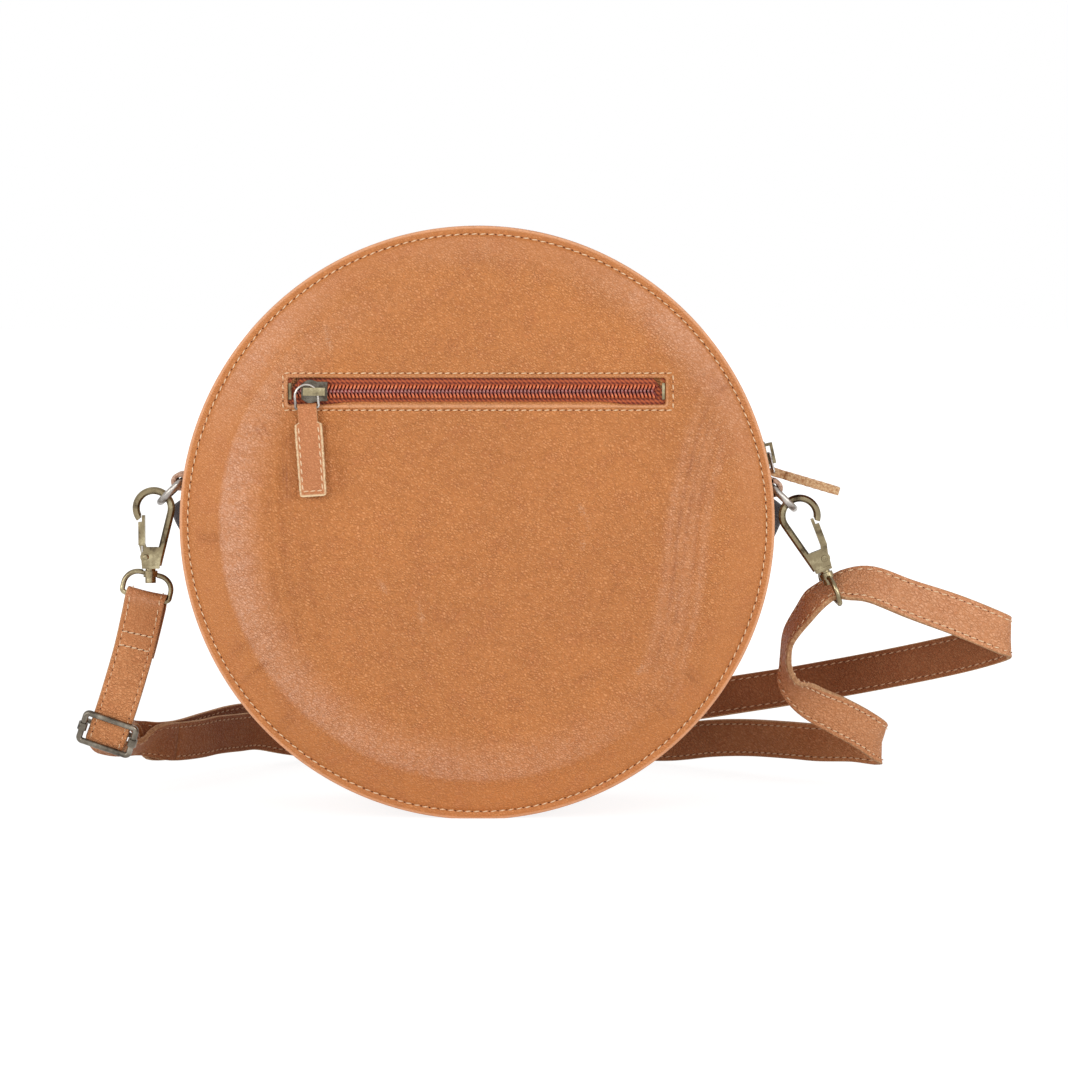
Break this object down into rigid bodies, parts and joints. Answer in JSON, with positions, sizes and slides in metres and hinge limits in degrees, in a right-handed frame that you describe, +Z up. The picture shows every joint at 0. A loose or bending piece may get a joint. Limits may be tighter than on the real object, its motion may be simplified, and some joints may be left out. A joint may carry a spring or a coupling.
{
  "type": "circle bag",
  "caption": "Round leather shoulder bag with a zipped rim gusset, a front zip pocket and a long strap on snap hooks and D rings, folded behind it.",
  "frame": {"origin": "on the flat under the base gusset that the bag stands on, midway between the two panels", "axes": "+Z up, -Y towards the pocket side, +X to the right as seen from the pocket side"},
  "size_m": [0.3985, 0.2028, 0.2448],
  "materials": {
    "tan_leather": "pebbled, semi-matt",
    "raw_leather": "cut edges left raw",
    "lining": "plain weave",
    "board": "pressed board",
    "zip_tape": "woven tape",
    "zip_coil": "nylon coil",
    "antique_brass": "antiqued",
    "nickel": "dull nickel",
    "gunmetal": "dark plated"
  },
  "bodies": {
    "bag": {"pocket_panel": "tan_leather", "plain_panel": "tan_leather", "base_gusset": "tan_leather", "zip_gusset_front": "tan_leather", "zip_gusset_back": "tan_leather", "main_zip_tape": "zip_tape", "main_zip_coil": "zip_coil", "main_zip_stops": "antique_brass", "pocket_zip_tape": "zip_tape", "pocket_zip_coil": "zip_coil", "pocket_zip_stops": "antique_brass", "pocket_pouch": "lining", "pocket_board": "board", "plain_board": "board", "front_lining": "lining", "back_lining": "lining", "gusset_lining": "lining", "left_ring_tab": "tan_leather", "right_ring_tab": "tan_leather", "strap_short": "tan_leather", "strap_left_run": "tan_leather", "strap_right_upper": "tan_leather", "strap_right_lower": "tan_leather", "strap_tail": "tan_leather"},
    "pocket_slider": {"pocket_zip_slider": "antique_brass"},
    "pocket_link": {"pocket_pull_link": "nickel"},
    "pocket_tab": {"pocket_pull_tab": "raw_leather"},
    "main_slider": {"main_zip_slider": "antique_brass"},
    "main_link": {"main_pull_link": "nickel"},
    "main_tab": {"main_pull_tab": "raw_leather"},
    "left_d": {"left_d_ring": "nickel"},
    "left_swivel": {"left_swivel_ring": "antique_brass"},
    "left_hook": {"left_hook_body": "antique_brass", "left_gate_rivet": "antique_brass", "left_swivel_stud": "antique_brass", "left_gate_spring": "nickel"},
    "left_gate": {"left_hook_gate": "antique_brass"},
    "right_d": {"right_d_ring": "nickel"},
    "right_swivel": {"right_swivel_ring": "antique_brass"},
    "right_hook": {"right_hook_body": "antique_brass", "right_gate_rivet": "antique_brass", "right_swivel_stud": "antique_brass", "right_gate_spring": "nickel"},
    "right_gate": {"right_hook_gate": "antique_brass"},
    "adjuster": {"adjuster_frame": "gunmetal", "adjuster_bar": "gunmetal"}
  },
  "joints": [
    {"name": "pocket_zip_slide", "type": "slide", "parent": "bag", "child": "pocket_slider", "axis": [1, 0, 0], "range_m": [0, 0.136]},
    {"name": "pocket_link_swing", "type": "hinge", "parent": "pocket_slider", "child": "pocket_link", "pos_m": [-0.0694, -0.04745, 0.175], "axis": [0, 1, 0], "range_deg": [-4, 60]},
    {"name": "pocket_tab_lift", "type": "hinge", "parent": "pocket_link", "child": "pocket_tab", "pos_m": [-0.06908, -0.04745, 0.17031], "axis": [-0.9978, 0, -0.0663], "range_deg": [0, 115]},
    {"name": "main_zip_run", "type": "hinge", "parent": "bag", "child": "main_slider", "pos_m": [0, 0, 0.122], "axis": [0, -1, 0], "range_deg": [0, 153]},
    {"name": "main_link_swing", "type": "hinge", "parent": "main_slider", "child": "main_link", "pos_m": [0.12233, 0, 0.14934], "axis": [0, -1, 0], "range_deg": [0, 40]},
    {"name": "main_tab_lift", "type": "hinge", "parent": "main_link", "child": "main_tab", "pos_m": [0.12428, 0, 0.14158], "axis": [0, -1, 0], "range_deg": [0, 40]},
    {"name": "left_hook_swing", "type": "hinge", "parent": "bag", "child": "left_swivel", "pos_m": [-0.12508, 0, 0.13758], "axis": [0, 1, 0], "range_deg": [-8, 14], "deforming": ["strap_short"]},
    {"name": "left_d_ring_swing", "type": "hinge", "parent": "bag", "child": "left_d", "pos_m": [-0.12508, 0, 0.13758], "axis": [0, 1, 0], "range_deg": [-8, 14]},
    {"name": "left_hook_turn", "type": "hinge", "parent": "left_swivel", "child": "left_hook", "pos_m": [-0.13846, 0, 0.09851], "axis": [0, 0, 1], "range_deg": [-10, 10]},
    {"name": "left_gate_open", "type": "hinge", "parent": "left_hook", "child": "left_gate", "pos_m": [-0.14016, 0, 0.10571], "axis": [0, 1, 0], "range_deg": [0, 25], "stiffness_Nm_per_rad": 0.01, "springref_deg": -11.46},
    {"name": "right_hook_swing", "type": "hinge", "parent": "bag", "child": "right_swivel", "pos_m": [0.12404, 0, 0.13482], "axis": [0, -1, 0], "range_deg": [-8, 12], "deforming": ["strap_right_upper", "strap_right_lower"]},
    {"name": "right_d_ring_swing", "type": "hinge", "parent": "bag", "child": "right_d", "pos_m": [0.12404, 0, 0.13482], "axis": [0, -1, 0], "range_deg": [-8, 12]},
    {"name": "right_hook_turn", "type": "hinge", "parent": "right_swivel", "child": "right_hook", "pos_m": [0.14682, 0, 0.09775], "axis": [-0.3584, 0, 0.9336], "range_deg": [-10, 10]},
    {"name": "right_gate_open", "type": "hinge", "parent": "right_hook", "child": "right_gate", "pos_m": [0.14583, 0, 0.10508], "axis": [0, -1, 0], "range_deg": [0, 25], "stiffness_Nm_per_rad": 0.01, "springref_deg": -11.46},
    {"name": "strap_adjuster", "type": "slide", "parent": "bag", "child": "adjuster", "axis": [0.3215, -0.2297, 0.9186], "range_m": [0, 0.012], "deforming": ["strap_short", "strap_tail"]}
  ],
  "couplings": [
    {"joint": "left_d_ring_swing", "follows": "left_hook_swing", "ratio": 1},
    {"joint": "right_d_ring_swing", "follows": "right_hook_swing", "ratio": 1}
  ]
}
